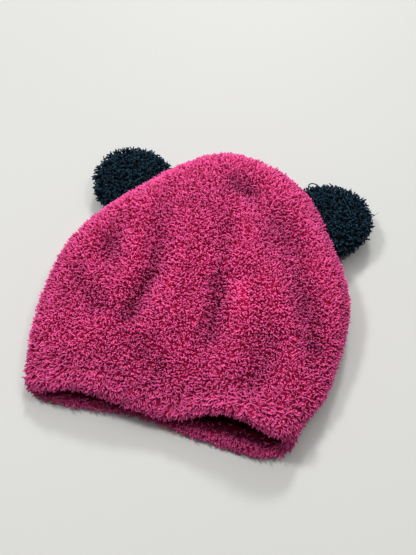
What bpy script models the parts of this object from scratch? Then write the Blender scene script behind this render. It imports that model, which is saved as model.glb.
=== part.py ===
"""A child's plush knit hat with two round ears, lying flat on its back.

Metres, +Z up. The mouth opens towards -Y, the closed end points to +Y, and the
underside lies on z = 0. The origin is the middle of the hat's own box, on the floor.
"""

import math

import bmesh
import bpy
import numpy as np

# The crown: one knitted wall, open at the mouth
CROWN_WIDTH = 0.213  # side fold to side fold of the cage, at the widest
CROWN_LENGTH = 0.210  # lower lip to the top of the closed end
CROWN_HEIGHT = 0.046  # floor to the top of the puffed-up middle, without the ridges
WALL = 0.006  # the knit with its pile on both faces
LIP_HEIGHT = 0.031  # floor to the highest point of the upper lip
LIP_SETBACK = 0.015  # how far the upper lip lies back from the lower one, at the most
UNDER_ROUND = 0.016  # width of the rounding between the underside and a side fold

# The ears: flat padded half discs on the side folds
EAR_WIDTH = 0.061  # across, along the side fold
EAR_LENGTH = 0.071  # of the whole oval, whose inner part the crown takes away
EAR_THICKNESS = 0.019
EAR_MIDDLE = 0.0135  # floor to the middle of the padding
EAR_GAP = 0.0003  # between an ear and the crown that it is sewn to

# How the surfaces are divided
COLUMNS = 24  # cage points from side to side, on the upper and on the lower layer
CROWDING = 0.80  # 0 spaces the columns evenly, 1 crowds them at the side folds
EDGE = 0.985  # share of the half width where the outermost columns stand
DOME_POWER = 2.4  # 2 makes the upper layer's section an ellipse, more makes it fuller
LIP_REACH = 0.20  # share of the length over which the lip's own line fades out
EAR_SPOKES = 12  # cage points round an ear
EAR_RINGS = 8  # cage rings from an ear's upper face to its lower face
EAR_POWER = 2.6  # 2 makes an ear's section an ellipse, more makes it plumper

# One row for each section of the crown, from the mouth to the closed end.
# along and bow are shares of the length: where the section's ends stand, and how far
# its middle bulges ahead of them. left and right are shares of half the width.
# top, fold_left, fold_right and under are shares of the height: the middle of the
# upper layer, the line of each side fold, and the underside.
SECTION_COLUMNS = ("along", "bow", "left", "right", "top", "fold_left", "fold_right", "under")
SECTIONS = [
    (0.000, 0.000, 0.885, 0.815, 0.40, 0.20, 0.34, 0.00),
    (0.045, 0.000, 0.912, 0.830, 0.45, 0.21, 0.34, 0.00),
    (0.110, 0.000, 0.948, 0.840, 0.53, 0.23, 0.33, 0.00),
    (0.180, 0.000, 0.980, 0.930, 0.61, 0.25, 0.32, 0.00),
    (0.260, 0.000, 0.995, 0.968, 0.69, 0.27, 0.31, 0.00),
    (0.340, 0.000, 1.000, 0.985, 0.77, 0.29, 0.31, 0.00),
    (0.420, 0.000, 0.995, 1.000, 0.84, 0.30, 0.31, 0.00),
    (0.500, 0.000, 0.978, 0.998, 0.90, 0.31, 0.31, 0.00),
    (0.580, 0.002, 0.925, 0.970, 0.95, 0.32, 0.32, 0.00),
    (0.660, 0.004, 0.835, 0.895, 0.99, 0.33, 0.33, 0.00),
    (0.740, 0.006, 0.705, 0.790, 1.00, 0.34, 0.34, 0.00),
    (0.815, 0.010, 0.570, 0.710, 0.98, 0.35, 0.35, 0.00),
    (0.880, 0.018, 0.450, 0.628, 0.92, 0.36, 0.36, 0.00),
    (0.932, 0.030, 0.335, 0.515, 0.82, 0.37, 0.37, 0.03),
    (0.962, 0.042, 0.220, 0.385, 0.69, 0.38, 0.38, 0.16),
]

# The mouth's two lips, one row for each place across, from the left fold (-1) to the
# right fold (1). lift is the upper lip's height, as a share of LIP_HEIGHT. upper_back
# and lower_back are how far each lip lies back, as shares of LIP_SETBACK.
LIP_COLUMNS = ("across", "lift", "upper_back", "lower_back")
LIPS = [
    (-1.00, 0.42, 0.05, 0.00),
    (-0.86, 0.56, 0.10, -0.08),
    (-0.69, 0.68, 0.45, 0.00),
    (-0.50, 0.72, 0.47, 0.08),
    (-0.34, 0.67, 0.40, 0.25),
    (-0.20, 0.58, 0.30, 0.28),
    (-0.07, 0.51, 0.27, 0.26),
    (0.08, 0.51, 0.24, 0.15),
    (0.18, 0.62, 0.48, 0.05),
    (0.30, 0.80, 0.82, 0.00),
    (0.44, 0.95, 1.00, -0.05),
    (0.57, 1.00, 0.97, -0.12),
    (0.74, 0.98, 0.68, -0.15),
    (0.88, 0.88, 0.55, -0.05),
    (1.00, 0.66, 0.60, 0.30),
]

# One row for each dent or ridge of the upper wall, as a line with soft sides. across is
# a share of half the crown's width, along of its length, width of its width, and the
# depths at the line's two ends are shares of its height. A negative depth is a ridge.
# Rows that share an end make one long crease.
FOLD_COLUMNS = ("across_1", "along_1", "across_2", "along_2", "width", "depth_1", "depth_2")
FOLDS = [
    (0.10, 0.86, 0.18, 0.82, 0.044, 0.07, 0.14),
    (0.18, 0.82, 0.27, 0.75, 0.046, 0.14, 0.06),
    (0.10, 0.70, 0.12, 0.56, 0.040, 0.03, 0.09),
    (0.12, 0.56, 0.15, 0.44, 0.038, 0.09, 0.17),
    (0.15, 0.44, 0.18, 0.32, 0.038, 0.17, 0.17),
    (0.18, 0.32, 0.16, 0.20, 0.042, 0.17, 0.04),
    (-0.36, 0.75, -0.34, 0.60, 0.040, 0.04, 0.09),
    (-0.34, 0.60, -0.29, 0.47, 0.038, 0.09, 0.17),
    (-0.29, 0.47, -0.34, 0.36, 0.038, 0.17, 0.18),
    (-0.34, 0.36, -0.33, 0.26, 0.044, 0.18, 0.03),
    (-0.63, 0.60, -0.62, 0.50, 0.042, 0.07, 0.14),
    (-0.62, 0.50, -0.56, 0.40, 0.042, 0.14, 0.04),
    (-0.80, 0.42, -0.58, 0.31, 0.046, 0.06, 0.12),
    (0.22, 0.70, 0.30, 0.58, 0.050, -0.04, -0.08),
    (0.30, 0.58, 0.50, 0.47, 0.050, -0.08, -0.09),
    (0.50, 0.47, 0.75, 0.28, 0.048, -0.09, -0.06),
    (0.31, 0.44, 0.37, 0.36, 0.040, -0.07, -0.05),
    (0.37, 0.76, 0.57, 0.64, 0.052, 0.06, 0.09),
    (0.57, 0.64, 0.67, 0.52, 0.050, 0.09, 0.12),
    (0.67, 0.52, 0.79, 0.41, 0.050, 0.12, 0.14),
    (0.79, 0.41, 0.87, 0.27, 0.050, 0.14, 0.07),
    (0.57, 0.31, 0.51, 0.17, 0.050, 0.06, 0.12),
    (-0.27, 0.21, -0.09, 0.15, 0.045, 0.06, 0.08),
    (-0.12, 0.62, -0.08, 0.34, 0.060, -0.05, -0.05),
    (-0.55, 0.30, -0.60, 0.18, 0.070, -0.05, -0.05),
]

# The ears. along is the oval's middle as a share of the crown's length, across as a
# share of half its width, and turn the way it points, in degrees from +X.
EAR_COLUMNS = ("name", "across", "along", "turn")
EARS = [
    ("ear_left", -0.665, 0.834, 145.0),
    ("ear_right", 0.716, 0.858, 27.0),
]

PLUSH_PINK = (0.535, 0.030, 0.150, 1.0)
PLUSH_NAVY = (0.006, 0.013, 0.022, 1.0)


def named(columns, rows):
    """The rows of a table as dictionaries, keyed by its column names."""
    return [dict(zip(columns, row)) for row in rows]


def column(columns, rows, name):
    """One column of a table as a list."""
    return [row[columns.index(name)] for row in rows]


def clear_scene():
    for obj in list(bpy.data.objects):
        bpy.data.objects.remove(obj, do_unlink=True)


def new_collection(name):
    collection = bpy.data.collections.new(name)
    bpy.context.scene.collection.children.link(collection)
    return collection


def plush(name, color, roughness):
    material = bpy.data.materials.new(name)
    material.use_nodes = True
    shader = material.node_tree.nodes["Principled BSDF"]
    shader.inputs["Base Color"].default_value = color
    shader.inputs["Roughness"].default_value = roughness
    shader.inputs["Metallic"].default_value = 0.0
    return material


def new_object(name, bm, collection, material=None):
    """A mesh object made from a bmesh, shaded smooth."""
    bmesh.ops.recalc_face_normals(bm, faces=bm.faces)
    mesh = bpy.data.meshes.new(name)
    bm.to_mesh(mesh)
    bm.free()
    mesh.shade_smooth()
    obj = bpy.data.objects.new(name, mesh)
    collection.objects.link(obj)
    if material:
        mesh.materials.append(material)
    return obj


def add_subdivision(obj):
    subdivision = obj.modifiers.new("Rounding", "SUBSURF")
    subdivision.levels = 1
    subdivision.render_levels = 1


def across_shares():
    """The columns' places from side to side, from -1 to 1."""
    bend = 0.5 * math.pi * CROWDING
    even = np.linspace(-1.0, 1.0, COLUMNS)
    return np.sin(bend * even) / math.sin(bend)


def fading(along):
    """1 at the mouth, 0 past the lips' reach, with a smooth fall between."""
    share = min(along / LIP_REACH, 1.0)
    return 1.0 - share * share * (3.0 - 2.0 * share)


def folding(points):
    """How far the folds lower the upper wall at each point of an (x, y) array."""
    dent = np.zeros(len(points))
    ridge = np.zeros(len(points))
    for fold in named(FOLD_COLUMNS, FOLDS):
        start = np.array([fold["across_1"] * CROWN_WIDTH / 2, fold["along_1"] * CROWN_LENGTH])
        end = np.array([fold["across_2"] * CROWN_WIDTH / 2, fold["along_2"] * CROWN_LENGTH])
        run = end - start
        share = np.clip((points - start) @ run / np.dot(run, run), 0.0, 1.0)
        nearest = start + share[:, None] * run
        distance = np.linalg.norm(points - nearest, axis=1) / (fold["width"] * CROWN_WIDTH)
        depth = fold["depth_1"] + (fold["depth_2"] - fold["depth_1"]) * share
        drop = depth * CROWN_HEIGHT * np.exp(-distance * distance)
        dent = np.maximum(dent, drop)
        ridge = np.minimum(ridge, drop)
    return dent + ridge


def lip_value(name, across):
    return float(np.interp(across, column(LIP_COLUMNS, LIPS, "across"), column(LIP_COLUMNS, LIPS, name)))


def section_value(name, along):
    places = column(SECTION_COLUMNS, SECTIONS, "along")
    return float(np.interp(along, places, column(SECTION_COLUMNS, SECTIONS, name)))


def swelling(across):
    """The upper layer's rise over the side folds at one place across, from 0 to 1."""
    return math.sqrt(1.0 - (EDGE * abs(across)) ** DOME_POWER)


def section_points(section, across):
    """The upper and the lower point of a section at one place across."""
    side = "left" if across < 0 else "right"
    mouth = fading(section["along"])
    half_width = section[side] * CROWN_WIDTH / 2
    fold = section["fold_" + side] * CROWN_HEIGHT
    under = section["under"] * CROWN_HEIGHT
    x = across * half_width
    y = section["along"] * CROWN_LENGTH + section["bow"] * CROWN_LENGTH * (1.0 - across * across)

    dome = fold + (section["top"] * CROWN_HEIGHT - fold) * swelling(across)
    lip = lip_value("lift", across) * LIP_HEIGHT
    top = dome + (lip - dome) * mouth
    upper = (x, y + lip_value("upper_back", across) * LIP_SETBACK * mouth, top)

    turned = max(0.0, 1.0 - (half_width / EDGE - abs(x)) / UNDER_ROUND)
    rise = 1.0 - math.sqrt(1.0 - min(turned, 1.0) ** 2)
    bottom = under + (fold - under) * rise
    lower = (x, y + lip_value("lower_back", across) * LIP_SETBACK * mouth, bottom)
    return upper, lower


def crown_cage():
    """The crown's outer skin, lofted through its sections and open at the mouth."""
    bm = bmesh.new()
    rings = []
    for section in named(SECTION_COLUMNS, SECTIONS):
        pairs = [section_points(section, across) for across in across_shares()]
        points = [upper for upper, _ in pairs] + [lower for _, lower in reversed(pairs)]
        rings.append([bm.verts.new(point) for point in points])
    count = 2 * COLUMNS
    for near, far in zip(rings, rings[1:]):
        for i in range(count):
            j = (i + 1) % count
            bm.faces.new((near[i], near[j], far[j], far[i]))
    last = rings[-1]
    for i in range(COLUMNS - 1):
        bm.faces.new((last[i], last[i + 1], last[count - 2 - i], last[count - 1 - i]))
    return bm, rings[0]


def press_folds(mesh):
    """Lowers both faces of the upper wall along the folds, by the same amount."""
    drops = folding(np.array([vert.co[:2] for vert in mesh.vertices]))
    for vert, drop in zip(mesh.vertices, drops):
        along = max(vert.co.y / CROWN_LENGTH, 0.0)
        side = "left" if vert.co.x < 0 else "right"
        half_width = section_value(side, along) * CROWN_WIDTH / 2
        if vert.co.z > section_value("fold_" + side, along) * CROWN_HEIGHT:
            across = min(abs(vert.co.x) / half_width, 1.0)
            vert.co.z -= drop * swelling(across) * (1.0 - fading(along))


def build_crown(collection, material):
    bm, _ = crown_cage()
    crown = new_object("crown", bm, collection, material)
    wall = crown.modifiers.new("Wall", "SOLIDIFY")
    wall.thickness = WALL
    wall.offset = -1.0
    wall.use_even_offset = True
    add_subdivision(crown)
    graph = bpy.context.evaluated_depsgraph_get()
    crown.data = bpy.data.meshes.new_from_object(crown.evaluated_get(graph))
    crown.modifiers.clear()
    press_folds(crown.data)
    return crown


def build_seat_cutter(collection):
    """The crown's outer form as a full solid, larger by the gap at the ears' seams."""
    bm, mouth = crown_cage()
    bm.faces.new(mouth)
    cutter = new_object("ear_seat_cutter", bm, collection)
    add_subdivision(cutter)
    clearance = cutter.modifiers.new("Clearance", "DISPLACE")
    clearance.strength = EAR_GAP
    clearance.mid_level = 0.0
    cutter.display_type = "WIRE"
    cutter.hide_render = True
    return cutter


def cage_growth(sides):
    """A subdivided ring comes out smaller than its cage by one over this factor."""
    return 3.0 / (2.0 + math.cos(2.0 * math.pi / sides))


def build_ear(row, cutter, collection, material):
    """A plump oval pad, flat side down, cut off along the crown's side."""
    bm = bmesh.new()
    bmesh.ops.create_uvsphere(bm, u_segments=EAR_SPOKES, v_segments=EAR_RINGS, radius=1.0)
    growth = cage_growth(EAR_SPOKES)
    for vert in bm.verts:
        reach = min(math.hypot(vert.co.x, vert.co.y), 1.0)
        plump = math.sqrt(1.0 - reach**EAR_POWER)
        vert.co.x *= growth * EAR_LENGTH / 2
        vert.co.y *= growth * EAR_WIDTH / 2
        vert.co.z = math.copysign(plump * EAR_THICKNESS / 2, vert.co.z)
    ear = new_object(row["name"], bm, collection, material)
    add_subdivision(ear)
    seat = ear.modifiers.new("Seat", "BOOLEAN")
    seat.operation = "DIFFERENCE"
    seat.solver = "EXACT"
    seat.object = cutter
    ear.location = (row["across"] * CROWN_WIDTH / 2, row["along"] * CROWN_LENGTH, EAR_MIDDLE)
    ear.rotation_euler = (0.0, 0.0, math.radians(row["turn"]))
    return ear


def place_on_origin(pieces, collection):
    """Parents every piece to one empty that puts the middle of their box on the origin."""
    bpy.context.view_layer.update()
    graph = bpy.context.evaluated_depsgraph_get()
    corners = []
    for piece in pieces:
        if piece.hide_render:
            continue
        evaluated = piece.evaluated_get(graph)
        mesh = evaluated.to_mesh()
        corners += [evaluated.matrix_world @ vert.co for vert in mesh.vertices]
        evaluated.to_mesh_clear()
    corners = np.array(corners)
    low = corners.min(axis=0)
    high = corners.max(axis=0)
    hat = bpy.data.objects.new("hat", None)
    hat.location = (-(low[0] + high[0]) / 2, -(low[1] + high[1]) / 2, -low[2])
    collection.objects.link(hat)
    for piece in pieces:
        piece.parent = hat


def main():
    clear_scene()
    parts = new_collection("hat_with_ears")
    cutters = new_collection("cutters")
    pink = plush("plush_pink", PLUSH_PINK, 0.9)
    navy = plush("plush_navy", PLUSH_NAVY, 0.9)
    crown = build_crown(parts, pink)
    cutter = build_seat_cutter(cutters)
    ears = [build_ear(row, cutter, parts, navy) for row in named(EAR_COLUMNS, EARS)]
    place_on_origin([crown, cutter, *ears], parts)


main()
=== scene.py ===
import math

import bmesh
import bpy
import numpy as np
from mathutils import Matrix, Vector, kdtree, noise
from mathutils.bvhtree import BVHTree


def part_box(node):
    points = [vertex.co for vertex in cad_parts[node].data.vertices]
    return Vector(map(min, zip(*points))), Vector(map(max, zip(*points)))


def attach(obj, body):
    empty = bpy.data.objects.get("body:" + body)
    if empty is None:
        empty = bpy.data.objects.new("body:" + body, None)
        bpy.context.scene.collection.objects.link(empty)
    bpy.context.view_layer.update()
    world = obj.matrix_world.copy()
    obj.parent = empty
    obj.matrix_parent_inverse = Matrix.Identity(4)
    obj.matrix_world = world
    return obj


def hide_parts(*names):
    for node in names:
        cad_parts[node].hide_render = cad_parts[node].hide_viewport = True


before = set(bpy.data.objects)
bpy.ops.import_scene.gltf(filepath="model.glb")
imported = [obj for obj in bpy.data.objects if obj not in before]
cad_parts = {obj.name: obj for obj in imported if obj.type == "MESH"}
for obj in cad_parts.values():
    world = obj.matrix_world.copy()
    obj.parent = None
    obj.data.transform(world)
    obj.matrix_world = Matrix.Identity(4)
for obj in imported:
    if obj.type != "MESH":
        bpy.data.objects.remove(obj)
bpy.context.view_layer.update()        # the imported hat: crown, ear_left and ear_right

imageSize = (416, 555)   # the picture's width and height in pixels
rimSearch = {"facing": -0.75, "depth": 0.05}  # a lip's edge faces -Y and lies this near the front, in metres


# small helpers, as plain functions
def unit(vectors):
    return vectors / np.maximum(np.linalg.norm(vectors, axis=-1, keepdims=True), 1e-9)


def dot(first, second):
    return (first * second).sum(axis=-1, keepdims=True)


def smooth(share):
    share = np.clip(share, 0.0, 1.0)
    return share * share * (3.0 - 2.0 * share)


def weldedCopy(nodeName, newName):
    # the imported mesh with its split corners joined, as a new object
    bm = bmesh.new()
    bm.from_mesh(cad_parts[nodeName].data)
    bmesh.ops.remove_doubles(bm, verts=bm.verts, dist=1e-6)
    bmesh.ops.recalc_face_normals(bm, faces=bm.faces)
    mesh = bpy.data.meshes.new(newName)
    bm.to_mesh(mesh)
    bm.free()
    mesh.shade_smooth()
    obj = bpy.data.objects.new(newName, mesh)
    bpy.context.scene.collection.objects.link(obj)
    return obj


def meshArrays(mesh):
    places = np.empty(len(mesh.vertices) * 3)
    mesh.vertices.foreach_get("co", places)
    normals = np.empty(len(mesh.vertices) * 3)
    mesh.vertices.foreach_get("normal", normals)
    mesh.calc_loop_triangles()
    triangles = np.empty(len(mesh.loop_triangles) * 3, np.int32)
    mesh.loop_triangles.foreach_get("vertices", triangles)
    return places.reshape(-1, 3), unit(normals.reshape(-1, 3)), triangles.reshape(-1, 3)


def addAttributes(mesh, attributes):
    for name, values in attributes.items():
        attribute = mesh.attributes.new(name, "FLOAT", "POINT")
        attribute.data.foreach_set("value", np.asarray(values, np.float32))


def meshFromArrays(name, places, triangles, attributes, material):
    mesh = bpy.data.meshes.new(name)
    mesh.vertices.add(len(places))
    mesh.vertices.foreach_set("co", places.astype(np.float32).ravel())
    mesh.loops.add(len(triangles) * 3)
    mesh.loops.foreach_set("vertex_index", triangles.astype(np.int32).ravel())
    mesh.polygons.add(len(triangles))
    mesh.polygons.foreach_set("loop_start", np.arange(0, len(triangles) * 3, 3, dtype=np.int32))
    mesh.update(calc_edges=True)
    addAttributes(mesh, attributes)
    mesh.shade_smooth()
    mesh.materials.append(material)
    obj = bpy.data.objects.new(name, mesh)
    bpy.context.scene.collection.objects.link(obj)
    return obj


# materials
def makeTuftGroup():
    group = bpy.data.node_groups.new("tuftShade", "ShaderNodeTree")
    face = group.interface
    for name, kind, value in (
        ("Root Color", "NodeSocketColor", (0.1, 0.0, 0.02, 1.0)),
        ("Tip Color", "NodeSocketColor", (0.8, 0.05, 0.2, 1.0)),
        ("Tint Strength", "NodeSocketFloat", 0.2),
        ("Painted Fold Shade", "NodeSocketFloat", 0.1),
        ("Patch Strength", "NodeSocketFloat", 0.15),
        ("Patch Scale", "NodeSocketFloat", 45.0),
        ("Fibre Scale", "NodeSocketFloat", 2600.0),
    ):
        socket = face.new_socket(name=name, in_out="INPUT", socket_type=kind)
        socket.default_value = value
    face.new_socket(name="Color", in_out="OUTPUT", socket_type="NodeSocketColor")
    face.new_socket(name="Height", in_out="OUTPUT", socket_type="NodeSocketFloat")
    nodes, links = group.nodes, group.links
    given = nodes.new("NodeGroupInput")
    result = nodes.new("NodeGroupOutput")

    along = nodes.new("ShaderNodeAttribute")
    along.attribute_name = "along"
    tint = nodes.new("ShaderNodeAttribute")
    tint.attribute_name = "tint"
    foldDepthAndShade = nodes.new("ShaderNodeAttribute")
    foldDepthAndShade.attribute_name = "foldDepthAndShade"
    where = nodes.new("ShaderNodeTexCoord")

    # from the root colour to the tip colour: the darker root is painted shade down between the tufts
    mixRootTip = nodes.new("ShaderNodeMix")
    mixRootTip.data_type = "RGBA"
    links.new(along.outputs["Fac"], mixRootTip.inputs["Factor"])
    links.new(given.outputs["Root Color"], mixRootTip.inputs["A"])
    links.new(given.outputs["Tip Color"], mixRootTip.inputs["B"])

    patches = nodes.new("ShaderNodeTexNoise")  # soft lighter and darker patches of pile
    patches.inputs["Detail"].default_value = 3.0
    links.new(where.outputs["Object"], patches.inputs["Vector"])
    links.new(given.outputs["Patch Scale"], patches.inputs["Scale"])

    tintPart = nodes.new("ShaderNodeMath")
    tintPart.operation = "MULTIPLY"
    links.new(tint.outputs["Fac"], tintPart.inputs[0])
    links.new(given.outputs["Tint Strength"], tintPart.inputs[1])
    patchMiddle = nodes.new("ShaderNodeMath")
    patchMiddle.operation = "SUBTRACT"
    patchMiddle.inputs[1].default_value = 0.5
    links.new(patches.outputs["Fac"], patchMiddle.inputs[0])
    patchPart = nodes.new("ShaderNodeMath")
    patchPart.operation = "MULTIPLY"
    links.new(patchMiddle.outputs[0], patchPart.inputs[0])
    links.new(given.outputs["Patch Strength"], patchPart.inputs[1])
    brightness = nodes.new("ShaderNodeMath")
    brightness.operation = "ADD"
    links.new(tintPart.outputs[0], brightness.inputs[0])
    links.new(patchPart.outputs[0], brightness.inputs[1])
    paintedFoldShade = nodes.new("ShaderNodeMath")  # painted shade down in a fold, painted light on a ridge
    paintedFoldShade.operation = "MULTIPLY_ADD"
    paintedFoldShade.inputs[2].default_value = 1.0
    links.new(foldDepthAndShade.outputs["Fac"], paintedFoldShade.inputs[0])
    links.new(given.outputs["Painted Fold Shade"], paintedFoldShade.inputs[1])
    value = nodes.new("ShaderNodeMath")
    value.operation = "ADD"
    links.new(brightness.outputs[0], value.inputs[0])
    links.new(paintedFoldShade.outputs[0], value.inputs[1])
    shade = nodes.new("ShaderNodeHueSaturation")
    links.new(mixRootTip.outputs["Result"], shade.inputs["Color"])
    links.new(value.outputs[0], shade.inputs["Value"])
    links.new(shade.outputs["Color"], result.inputs["Color"])

    fibres = nodes.new("ShaderNodeTexNoise")  # the short fibres round each curl of yarn
    fibres.inputs["Detail"].default_value = 2.0
    links.new(where.outputs["Object"], fibres.inputs["Vector"])
    links.new(given.outputs["Fibre Scale"], fibres.inputs["Scale"])
    links.new(fibres.outputs["Fac"], result.inputs["Height"])
    return group


def makePlush(name, look):
    material = bpy.data.materials.new(name)
    material.use_nodes = True
    nodes, links = material.node_tree.nodes, material.node_tree.links
    shader = nodes["Principled BSDF"]
    tufts = nodes.new("ShaderNodeGroup")
    tufts.node_tree = tuftGroup
    for socket, value in look["tufts"].items():
        tufts.inputs[socket].default_value = value
    links.new(tufts.outputs["Color"], shader.inputs["Base Color"])
    bump = nodes.new("ShaderNodeBump")
    bump.inputs["Strength"].default_value = look["fibreBump"]
    bump.inputs["Distance"].default_value = look["fibreDepth"]
    links.new(tufts.outputs["Height"], bump.inputs["Height"])
    links.new(bump.outputs["Normal"], shader.inputs["Normal"])
    shader.inputs["Roughness"].default_value = look["roughness"]
    shader.inputs["Specular IOR Level"].default_value = look["specular"]
    shader.inputs["Sheen Weight"].default_value = look["sheen"]
    shader.inputs["Sheen Roughness"].default_value = look["sheenRoughness"]
    shader.inputs["Sheen Tint"].default_value = look["sheenTint"]
    return material


tuftGroup = makeTuftGroup()
pinkLook = {
    "tufts": {
        # the darker root colour is painted shade between the tufts
        "Root Color": (0.44, 0.0008, 0.052, 1.0),
        "Tip Color": (0.80, 0.108, 0.335, 1.0),
        "Tint Strength": 0.07,
        "Painted Fold Shade": -0.15,
        "Patch Strength": 0.12,
        "Patch Scale": 40.0,
        "Fibre Scale": 2600.0,
    },
    "fibreBump": 0.35,
    "fibreDepth": 0.0002,
    "roughness": 0.8,
    "specular": 0.03,
    "sheen": 0.015,
    "sheenRoughness": 0.45,
    "sheenTint": (1.0, 0.62, 0.78, 1.0),
}
navyLook = {
    "tufts": {
        # the darker root colour is painted shade between the tufts
        "Root Color": (0.0002, 0.0006, 0.0014, 1.0),
        "Tip Color": (0.0125, 0.038, 0.062, 1.0),
        "Tint Strength": 0.35,
        "Painted Fold Shade": 0.0,
        "Patch Strength": 0.35,
        "Patch Scale": 60.0,
        "Fibre Scale": 2600.0,
    },
    "fibreBump": 0.35,
    "fibreDepth": 0.0002,
    "roughness": 0.75,
    "specular": 0.06,
    "sheen": 0.02,
    "sheenRoughness": 0.45,
    "sheenTint": (0.75, 0.88, 1.0, 1.0),
}
pinkPlush = makePlush("pinkPlush", pinkLook)
navyPlush = makePlush("navyPlush", navyLook)
print("materials made")


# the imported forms, measured here and removed when the pile is grown
def treeOf(obj):
    places, _, triangles = meshArrays(obj.data)
    return BVHTree.FromPolygons(places.tolist(), triangles.tolist())


crownForm = weldedCopy("crown", "crown_form")
earForms = {name: weldedCopy(name, name + "_form") for name in ("ear_left", "ear_right")}
crownTree = treeOf(crownForm)
earTrees = [treeOf(form) for form in earForms.values()]
crownLow, crownHigh = (np.array(corner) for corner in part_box("crown"))

def rimTree():
    # the vertices along the edges of both lips
    places, normals, _ = meshArrays(crownForm.data)
    front = places[:, 1] < crownLow[1] + rimSearch["depth"]
    edge = places[front & (normals[:, 1] < rimSearch["facing"])]
    tree = kdtree.KDTree(len(edge))
    for number, place in enumerate(edge):
        tree.insert(place, number)
    tree.balance()
    return tree


lipEdges = rimTree()


def rimShareOf(places, reach):
    distance = np.array([lipEdges.find(place)[2] for place in places])
    return 1.0 - smooth(distance / reach)


# the upper wall as a height field, whose folds the pile makes sharper, and darker with painted shade
folds = {
    "cell": 0.0015,
    "blur": 0.006,       # how wide the surroundings are that a fold is measured against
    "sharpen": 0.9,      # how much deeper the folds get, as a share of what they lie below their surroundings
    "flatEnough": (0.45, 0.85),   # the normal's height where this fades in
    "near": 0.0025,      # a point this near the field's height belongs to the upper wall
    "rimReach": 0.026,   # towards the lips' edges it fades out
}

dimples = {
    # name: (x, y, reach, how much deeper), in metres; a negative depth is a soft rise. Each presses the pile there and
    # also paints shade on it, or painted light for a rise
    "under_the_top": (0.005, 0.069, 0.010, 0.0024),
    "left_shoulder": (-0.073, 0.007, 0.010, 0.0016),
    "left_crease_end": (-0.044, -0.042, 0.009, 0.0028),
    "left_side": (-0.086, -0.031, 0.011, 0.0012),
    "left_of_crease": (-0.065, -0.039, 0.009, 0.0012),
    "middle_crease_top": (0.009, 0.012, 0.012, -0.0014),
    "right_band_top": (0.049, 0.041, 0.014, 0.0012),
    "right_band_middle": (0.072, -0.004, 0.013, 0.0012),
    "right_band_low": (0.084, -0.030, 0.013, 0.0018),
    "right_patch": (0.049, -0.052, 0.011, 0.0007),
    "front_middle": (-0.011, -0.073, 0.008, 0.0005),
    "front_left": (-0.029, -0.066, 0.008, 0.0006),
    "right_rise": (0.036, -0.014, 0.014, -0.0014),
}


def blurred(field, spread):
    reach = int(3 * spread)
    weights = np.exp(-0.5 * (np.arange(-reach, reach + 1) / spread) ** 2)
    weights /= weights.sum()
    for axis in (0, 1):
        field = np.apply_along_axis(lambda line: np.convolve(line, weights, "same"), axis, field)
    return field


def heightField():
    xs = np.arange(crownLow[0], crownHigh[0], folds["cell"])
    ys = np.arange(crownLow[1], crownHigh[1], folds["cell"])
    heights = np.zeros((len(xs), len(ys)))
    known = np.zeros_like(heights)
    start, down = crownHigh[2] + 0.01, Vector((0.0, 0.0, -1.0))
    for i, x in enumerate(xs.tolist()):
        for j, y in enumerate(ys.tolist()):
            place = crownTree.ray_cast(Vector((x, y, start)), down)[0]
            if place is not None:
                heights[i, j], known[i, j] = place.z, 1.0
    spread = folds["blur"] / folds["cell"]
    around = blurred(heights, spread) / np.maximum(blurred(known, spread), 1e-6)
    hollows = around - heights
    for x, y, reach, depth in dimples.values():
        apart = (xs[:, None] - x) ** 2 + (ys[None, :] - y) ** 2
        hollows += depth * np.exp(-apart / reach**2)
    return heights, hollows * known


def sampled(field, places):
    spot = (places[:, :2] - crownLow[:2]) / folds["cell"]
    spot = np.clip(spot, 0.0, np.array(field.shape) - 1.001)
    i, j = np.floor(spot).astype(int).T
    u, v = (spot - np.floor(spot)).T
    near = field[i, j] * (1.0 - v) + field[i, j + 1] * v
    far = field[i + 1, j] * (1.0 - v) + field[i + 1, j + 1] * v
    return near * (1.0 - u) + far * u


crownHeights, crownHollows = heightField()


def hollowAt(places, normals):
    # millimetres that each point of the upper wall lies below its surroundings
    start, end = folds["flatEnough"]
    share = smooth((normals[:, 2] - start) / (end - start))
    share *= np.abs(places[:, 2] - sampled(crownHeights, places)) < folds["near"]
    share *= 1.0 - rimShareOf(places, folds["rimReach"])
    return 1000.0 * share * sampled(crownHollows, places)


def pressed(places, foldDepthAndShade):
    return places - np.outer(foldDepthAndShade * 0.001 * folds["sharpen"], (0.0, 0.0, 1.0))


def hits(tree, places, normals, reach, start=0.0006):
    # for each point, whether a line along its normal meets the tree within reach
    found = np.zeros(len(places), bool)
    for number, (place, normal) in enumerate(zip(places.tolist(), normals.tolist())):
        direction = Vector(normal)
        found[number] = tree.ray_cast(Vector(place) + direction * start, direction, reach)[0] is not None
    return found


# the knitted backing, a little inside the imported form
backing = {
    "inset": 0.0013,      # from the middle of the pile down to the knit
    "root": 0.15,         # how light the knit is, from 0 at a tuft's root to 1 at its tip; the dark root colour it takes is painted shade between the tufts
    "shade": 0.4,         # painted shade on the knit between the tufts, as if this many mm deep, and painted shade inside the hat
    "insideShade": 5.6,
    "insideReach": 0.009,
}


def makeBacking(nodeName, newName, material):
    piece = weldedCopy(nodeName, newName)
    places, normals, _ = meshArrays(piece.data)
    foldDepthAndShade = hollowAt(places, normals)
    shade = backing["shade"]
    if nodeName == "crown":
        # painted shade inside the hat, fading out towards the lips' edges
        inside = hits(crownTree, places, normals, 0.09) * (1.0 - rimShareOf(places, backing["insideReach"]))
        shade = shade + backing["insideShade"] * inside
    places = pressed(places, foldDepthAndShade) - normals * backing["inset"]
    piece.data.vertices.foreach_set("co", places.ravel())
    count = len(places)
    addAttributes(piece.data, {"along": np.full(count, backing["root"]), "tint": np.zeros(count), "foldDepthAndShade": foldDepthAndShade + shade})
    piece.data.update()
    piece.data.materials.clear()
    piece.data.materials.append(material)
    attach(piece, "root")
    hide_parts(nodeName)
    return piece


makeBacking("crown", "crown_knit", pinkPlush)
for earName in earForms:
    earPad = makeBacking(earName, earName + "_pad", navyPlush)
print("backing made")


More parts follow.
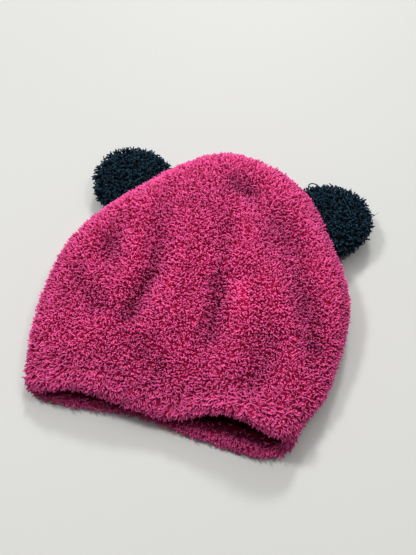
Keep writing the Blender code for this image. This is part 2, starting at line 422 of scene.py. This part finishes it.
# where the tufts stand
def scatterRoots(obj, spacing, keep, seed):
    # points on the surface, none nearer to another than spacing
    places, normals, triangles = meshArrays(obj.data)
    corners = places[triangles]
    middle = corners.mean(axis=1)
    facing = unit(np.cross(corners[:, 1] - corners[:, 0], corners[:, 2] - corners[:, 0]))
    chosen = keep(middle, facing)
    triangles, corners = triangles[chosen], corners[chosen]
    area = 0.5 * np.linalg.norm(np.cross(corners[:, 1] - corners[:, 0], corners[:, 2] - corners[:, 0]), axis=1)
    rng = np.random.default_rng(seed)
    tries = int(4.0 * area.sum() / spacing**2)
    picked = rng.choice(len(area), tries, p=area / area.sum())
    a, b = rng.random(tries), rng.random(tries)
    over = a + b > 1.0
    a[over], b[over] = 1.0 - a[over], 1.0 - b[over]
    weights = np.stack([1.0 - a - b, a, b], axis=1)[:, :, None]
    points = (corners[picked] * weights).sum(axis=1)
    pointNormals = unit((normals[triangles[picked]] * weights).sum(axis=1))
    cells = {}
    kept = []
    keys = np.floor(points / spacing).astype(int)
    around = [(i, j, k) for i in (-1, 0, 1) for j in (-1, 0, 1) for k in (-1, 0, 1)]
    flat = points.tolist()
    limit = spacing * spacing
    for number, (i, j, k) in enumerate(keys.tolist()):
        x, y, z = flat[number]
        free = True
        for di, dj, dk in around:
            for px, py, pz in cells.get((i + di, j + dj, k + dk), ()):
                if (px - x) ** 2 + (py - y) ** 2 + (pz - z) ** 2 < limit:
                    free = False
                    break
            if not free:
                break
        if free:
            cells.setdefault((i, j, k), []).append((x, y, z))
            kept.append(number)
    return points[kept], pointNormals[kept]


def noiseVectors(places, scale):
    return np.array([noise.noise_vector(Vector(place) * scale) for place in places.tolist()])


def combed(places, normals, rimShare, pile):
    # the way the pile is brushed: along a slow noise, and out over the lips near the mouth
    comb = noiseVectors(places, pile["swirlScale"]) + pile["clumpShare"] * noiseVectors(places, pile["clumpScale"])
    comb = comb * (1.0 - 0.75 * rimShare)
    comb += rimShare * np.array([0.0, -1.0, -0.25])
    comb += np.array([0.0, 0.0, -pile["droop"]])
    comb -= dot(comb, normals) * normals
    return unit(comb)


def pressedFlat(heights, floorGap, reach):
    # nothing goes through the table: what would lie low is squeezed into the last reach above it
    low = heights < reach
    squeezed = floorGap + (reach - floorGap) * np.exp((heights - reach) / (reach - floorGap))
    return np.where(low, squeezed, heights)


def growTufts(name, places, normals, rimShare, pile, material, seed):
    # each tuft is a short curl of yarn: it stands up from the knit, leans over and winds sideways
    rng = np.random.default_rng(seed)
    count = len(places)
    rings, sides = pile["rings"], pile["sides"]
    rim = rimShare.reshape(-1, 1)
    comb = combed(places, normals, rim, pile)
    side = np.cross(normals, comb)
    foldDepthAndShade = hollowAt(places, normals)
    behindEdge = rim * (1.0 - rimShareOf(places, pile["edgeReach"]).reshape(-1, 1))
    length = rng.uniform(*pile["length"], (count, 1)) * (1.0 + pile["rimLonger"] * behindEdge)
    length *= 1.0 + pile["clumpLength"] * noiseVectors(places + 1.0, pile["clumpScale"])[:, :1]
    radius = 0.5 * pile["thickness"] * rng.uniform(0.8, 1.15, (count, 1))
    lean = np.radians(rng.uniform(*pile["leanStart"], (count, 1)) + pile["rimLean"][0] * rim)
    leanEnd = np.radians(rng.uniform(*pile["leanEnd"], (count, 1)) + pile["rimLean"][1] * rim)
    turn = np.radians(rng.normal(0.0, 1.0, (count, 1)) * pile["spread"]) * (1.0 - 0.72 * rim)
    curl = np.radians(rng.uniform(*pile["curl"], (count, 1))) * rng.choice([-1.0, 1.0], (count, 1))
    curl *= 1.0 - 0.55 * rim
    tint = rng.normal(0.0, 1.0, count).clip(-2.0, 2.0)

    point = pressed(places, foldDepthAndShade) - normals * backing["inset"] * 1.15
    step = length / (rings - 1)
    across = None
    layers = []
    angles = np.arange(sides) * 2.0 * math.pi / sides
    for ring in range(rings):
        share = ring / (rings - 1)
        phi = lean + (leanEnd - lean) * share
        psi = turn + curl * share
        flat = np.cos(psi) * comb + np.sin(psi) * side
        direction = np.cos(phi) * normals + np.sin(phi) * flat
        if across is None:
            across = unit(np.cross(direction, side + 0.3 * normals))
        across = unit(across - dot(across, direction) * direction)
        third = np.cross(direction, across)
        swell = pile["swell"][0] + (pile["swell"][1] - pile["swell"][0]) * math.sin(math.pi * (0.15 + 0.7 * share))
        layers.append(np.stack([point + radius * swell * (math.cos(a) * across + math.sin(a) * third) for a in angles], 1))
        last = point + direction * radius * 0.9
        point = point + direction * step
    layers.append(last[:, None, :])
    grid = np.concatenate(layers, axis=1)
    perTuft = rings * sides + 1
    grid[:, :, 2] = pressedFlat(grid[:, :, 2], pile["floorGap"], pile["floorReach"])

    faces = [(0, side2, side2 + 1) for side2 in range(1, sides - 1)]
    faces = [(a, c, b) for a, b, c in faces]
    for ring in range(rings - 1):
        for s in range(sides):
            n = (s + 1) % sides
            low, high = ring * sides, (ring + 1) * sides
            faces += [(low + s, low + n, high + n), (low + s, high + n, high + s)]
    top = (rings - 1) * sides
    faces += [(top + s, top + (s + 1) % sides, perTuft - 1) for s in range(sides)]
    faces = np.array(faces)
    triangles = (faces[None] + (np.arange(count) * perTuft)[:, None, None]).reshape(-1, 3)
    alongRing = np.concatenate([np.repeat(np.arange(rings) / (rings - 1), sides), [1.0]]) ** pile["rootShadePower"]
    # painted shade near the mouth, and for the inner pile painted shade inside the hat, added to the fold depth
    foldDepthAndShade = foldDepthAndShade + pile["rimShade"] * rimShare + pile["shade"] * (1.0 - rimShare)
    attributes = {
        "along": np.tile(alongRing, count),
        "tint": np.repeat(tint, perTuft),
        "foldDepthAndShade": np.repeat(foldDepthAndShade, perTuft),
    }
    piece = meshFromArrays(name, grid.reshape(-1, 3), triangles, attributes, material)
    print(f"{name}: {count} tufts, {len(triangles)} triangles")
    return piece


def settle(piece):
    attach(piece, "root")


# the crown's pile
crownPile = {
    "spacing": 0.00104,
    "rings": 4,
    "sides": 3,
    "length": (0.0031, 0.0046),
    "thickness": 0.00118,
    "leanStart": (0.0, 35.0),
    "leanEnd": (20.0, 85.0),
    "rimLean": (30.0, 30.0),  # degrees more near the mouth, at a tuft's start and end
    "spread": 80.0,          # degrees to either side of the brushed way
    "curl": (40.0, 160.0),   # degrees that a tuft winds sideways over its length
    "swirlScale": 55.0,      # the slow turns of the brushed pile, and the small clumps in it
    "clumpScale": 240.0,
    "clumpShare": 0.9,
    "clumpLength": 0.35,
    "droop": 0.25,
    "rimReach": 0.036,
    "rimLonger": 0.45,       # behind the lips' edges, and edgeReach is where it starts
    "edgeReach": 0.009,
    "rimShade": 1.6,         # painted shade on the pile near the mouth, and away from it, as if this many mm deep
    "shade": 0.0,
    "swell": (0.55, 1.0),    # thickness at a tuft's ends and at its middle, as shares
    # the power on the share along a tuft, which sets how far up the painted root shade reaches
    "rootShadePower": 0.7,
    "floorGap": 0.0003,
    "floorReach": 0.0022,
    "seed": 11,
}
crownParts = {
    # name: the stretch of the crown's length that it covers, as shares
    "crown_pile_mouth": (0.0, 0.25),
    "crown_pile_front": (0.25, 0.48),
    "crown_pile_middle": (0.48, 0.72),
    "crown_pile_end": (0.72, 1.0),
}
undersidePile = dict(crownPile, spacing=0.0022, rings=4, length=(0.005, 0.007), leanStart=(50.0, 70.0), leanEnd=(85.0, 100.0), seed=23)
insidePile = dict(
    crownPile, spacing=0.0019, rings=4, rimReach=backing["insideReach"], shade=backing["insideShade"], seed=37)
underside = {"facing": -0.6, "height": 0.004}
insideDepth = 0.075   # how far in from the mouth the inner pile is grown, in metres


def isUnder(places, normals):
    return (normals[:, 2] < underside["facing"]) & (places[:, 2] < underside["height"])


def makeCrownPile():
    places, normals = scatterRoots(crownForm, crownPile["spacing"], lambda m, f: f[:, 2] > -2.0, crownPile["seed"])
    within = hits(crownTree, places, normals, 0.09)
    nearEar = hits(earTrees[0], places, normals, 0.0025, 0.0) | hits(earTrees[1], places, normals, 0.0025, 0.0)
    below = isUnder(places, normals)
    rimShare = rimShareOf(places, crownPile["rimReach"])
    outer = ~within & ~nearEar & ~below
    span = (places[:, 1] - crownLow[1]) / (crownHigh[1] - crownLow[1])
    for number, (name, (start, end)) in enumerate(crownParts.items()):
        part = outer & (span >= start) & (span < end + 1e-6 * (end == 1.0))
        piece = growTufts(name, places[part], normals[part], rimShare[part], crownPile, pinkPlush, crownPile["seed"] + number + 1)
        settle(piece)


def makeUndersidePile():
    places, normals = scatterRoots(
        crownForm, undersidePile["spacing"],
        lambda m, f: (f[:, 2] < underside["facing"]) & (m[:, 2] < underside["height"]), undersidePile["seed"])
    rimShare = rimShareOf(places, undersidePile["rimReach"])
    piece = growTufts("crown_pile_underside", places, normals, rimShare, undersidePile, pinkPlush, undersidePile["seed"] + 1)
    settle(piece)


def makeInsidePile():
    places, normals = scatterRoots(
        crownForm, insidePile["spacing"], lambda m, f: m[:, 1] < crownLow[1] + insideDepth, insidePile["seed"])
    within = hits(crownTree, places, normals, 0.09)
    places, normals = places[within], normals[within]
    rimShare = rimShareOf(places, insidePile["rimReach"])
    piece = growTufts("crown_pile_inside", places, normals, rimShare, insidePile, pinkPlush, insidePile["seed"] + 1)
    settle(piece)


makeCrownPile()
makeUndersidePile()
makeInsidePile()

# the ears' pile
earPile = dict(
    crownPile, spacing=0.00135, rings=5, length=(0.0036, 0.0056), thickness=0.00125, leanStart=(0.0, 40.0),
    leanEnd=(40.0, 110.0), curl=(30.0, 130.0), droop=0.15, rootShadePower=1.3, seed=51)


def makeEarPile(earName, form, seed):
    places, normals = scatterRoots(form, earPile["spacing"], lambda m, f: f[:, 2] > -2.0, seed)
    seated = hits(crownTree, places, normals, 0.004, 0.0)
    places, normals = places[~seated], normals[~seated]
    piece = growTufts(earName + "_pile", places, normals, np.zeros(len(places)), earPile, navyPlush, seed + 1)
    settle(piece)


for number, (earName, form) in enumerate(earForms.items()):
    makeEarPile(earName, form, earPile["seed"] + 10 * number)

# single strands that have come loose on the right ear: a small loop of yarn and a stray fibre
strays = {
    "loop": {
        "route": (
            (0.0580, 0.0950, 0.0150), (0.0568, 0.0998, 0.0160), (0.0566, 0.1028, 0.0165), (0.0584, 0.1044, 0.0168),
            (0.0612, 0.1048, 0.0165), (0.0638, 0.1036, 0.0160), (0.0655, 0.1008, 0.0150), (0.0660, 0.0970, 0.0140)),
        "radius": (0.00040, 0.00060),
    },
    "fibre": {
        "route": ((0.1015, 0.0800, 0.0150), (0.1066, 0.0850, 0.0165), (0.1098, 0.0882, 0.0172), (0.1125, 0.0913, 0.0178)),
        "radius": (0.00035, 0.00005),
    },
    "sides": 5,
    "steps": 6,     # rings between two points of the route
}


def smoothRoute(route, steps):
    # a curve through all the points
    points = np.array([route[0], *route, route[-1]])
    places = []
    for number in range(len(route) - 1):
        a, b, c, d = points[number:number + 4]
        for share in np.arange(steps) / steps:
            places.append(0.5 * (
                2 * b + (c - a) * share + (2 * a - 5 * b + 4 * c - d) * share**2 + (3 * b - a - 3 * c + d) * share**3))
    return np.array(places + [route[-1]])


def makeStray(name):
    stray = strays[name]
    sides = strays["sides"]
    places = smoothRoute(stray["route"], strays["steps"])
    count = len(places)
    ahead = unit(np.gradient(places, axis=0))
    across = unit(np.cross(ahead, (0.0, 0.0, 1.0)))
    third = np.cross(ahead, across)
    radius = np.linspace(*stray["radius"], count)[:, None]
    angles = np.arange(sides) * 2.0 * math.pi / sides
    grid = np.stack([places + radius * (math.cos(a) * across + math.sin(a) * third) for a in angles], 1)
    faces = []
    for ring in range(count - 1):
        for s in range(sides):
            low, high, n = ring * sides, (ring + 1) * sides, (s + 1) % sides
            faces += [(low + s, low + n, high + n), (low + s, high + n, high + s)]
    last = (count - 1) * sides
    faces += [(0, s + 1, s) for s in range(1, sides - 1)]
    faces += [(last, last + s, last + s + 1) for s in range(1, sides - 1)]
    number = len(grid.reshape(-1, 3))
    attributes = {"along": np.full(number, 0.7), "tint": np.zeros(number), "foldDepthAndShade": np.zeros(number)}
    settle(meshFromArrays("ear_right_stray_" + name, grid.reshape(-1, 3), np.array(faces), attributes, navyPlush))


makeStray("loop")
makeStray("fibre")

for form in (crownForm, *earForms.values()):
    bpy.data.objects.remove(form, do_unlink=True)
print("pile grown")


# the table, the light and the camera
table = {
    "size": 5.0,
    "color": (0.482, 0.482, 0.466, 1.0),
    "roughness": 0.6,
}
lights = {
    # name: degrees to the right of the camera's own direction, height in degrees, distance, watts, width
    "window_left": (-56.0, 50.0, 6.0, 198.0, 1.1),
    "window_back": (6.0, 38.0, 6.0, 200.0, 1.0),
    "lamp_right": (78.0, 60.0, 6.0, 70.0, 0.9),
    "ceiling": (0.0, 72.0, 3.0, 48.0, 3.6),
}
surroundings = {"color": (1.0, 1.0, 0.99, 1.0), "strength": 0.14}
view = {
    "azimuth": 14.80,     # degrees from -Y towards +X
    "elevation": 63.06,
    "distance": 0.517,
    "focalPixels": 720.0,
    "target": (0.0, 0.0, 0.015),
    "targetPixel": (-4.67, 7.33),   # where the target lands, right of and below the picture's middle
    "sensor": 36.0,
}


def makeTable():
    bm = bmesh.new()
    bmesh.ops.create_grid(bm, x_segments=1, y_segments=1, size=table["size"] / 2)
    mesh = bpy.data.meshes.new("table_top")
    bm.to_mesh(mesh)
    bm.free()
    floor = bpy.data.objects.new("table_top", mesh)
    bpy.context.scene.collection.objects.link(floor)
    material = bpy.data.materials.new("tableTop")
    material.use_nodes = True
    shader = material.node_tree.nodes["Principled BSDF"]
    shader.inputs["Base Color"].default_value = table["color"]
    shader.inputs["Roughness"].default_value = table["roughness"]
    mesh.materials.append(material)


def aim(obj, target):
    obj.rotation_euler = (Vector(target) - obj.location).to_track_quat("-Z", "Y").to_euler()


def makeLights():
    for name, (aside, height, distance, power, width) in lights.items():
        lamp = bpy.data.lights.new(name, "AREA")
        lamp.shape = "DISK"
        lamp.size = width
        lamp.energy = power
        obj = bpy.data.objects.new(name, lamp)
        bpy.context.scene.collection.objects.link(obj)
        turned, raised = math.radians(view["azimuth"] - aside), math.radians(height)
        obj.location = distance * Vector((
            -math.sin(turned) * math.cos(raised), math.cos(turned) * math.cos(raised), math.sin(raised)))
        aim(obj, (0.0, 0.0, 0.0))
    world = bpy.data.worlds.new("room_light")
    bpy.context.scene.world = world
    world.use_nodes = True
    sky = world.node_tree.nodes["Background"]
    sky.inputs["Color"].default_value = surroundings["color"]
    sky.inputs["Strength"].default_value = surroundings["strength"]


def makeCamera():
    azimuth, elevation = math.radians(view["azimuth"]), math.radians(view["elevation"])
    back = Vector((
        math.sin(azimuth) * math.cos(elevation), -math.cos(azimuth) * math.cos(elevation), math.sin(elevation)))
    right = Vector((math.cos(azimuth), math.sin(azimuth), 0.0))
    up = back.cross(right)
    perPixel = view["distance"] / view["focalPixels"]
    aside, below = view["targetPixel"]
    camera = bpy.data.cameras.new("camera")
    camera.sensor_width = view["sensor"]
    camera.lens = view["focalPixels"] / max(imageSize) * view["sensor"]
    obj = bpy.data.objects.new("camera", camera)
    bpy.context.scene.collection.objects.link(obj)
    obj.location = Vector(view["target"]) + back * view["distance"] - right * aside * perPixel + up * below * perPixel
    turned = Matrix((right, up, back)).transposed()
    obj.rotation_euler = turned.to_euler()
    bpy.context.scene.camera = obj


makeTable()
makeLights()
makeCamera()
bpy.context.scene.view_settings.view_transform = "Standard"
print("table, lights and camera placed")
